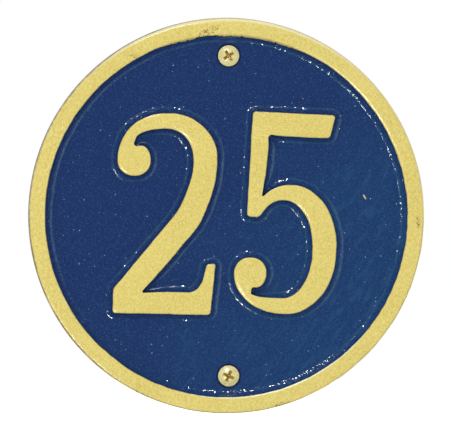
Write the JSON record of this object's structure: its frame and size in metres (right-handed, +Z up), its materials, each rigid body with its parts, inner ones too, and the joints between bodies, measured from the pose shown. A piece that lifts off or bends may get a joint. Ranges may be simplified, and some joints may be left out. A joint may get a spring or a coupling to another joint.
{
  "type": "wall address plaque",
  "caption": "Round cast wall plaque with a raised rim and a raised house number, painted gold and blue, with its wall screws.",
  "frame": {"origin": "centre of the casting's flat back, which lies against the wall", "axes": "+Z up as it hangs, the face looks towards -Y, +Y into the wall, +X to the right seen from the front"},
  "size_m": [0.1524, 0.0352, 0.1524],
  "materials": {
    "painted_casting": "gloss",
    "brass_screw": "polished"
  },
  "bodies": {
    "root": {"plaque": "painted_casting", "wall_screws": "brass_screw"}
  },
  "joints": []
}
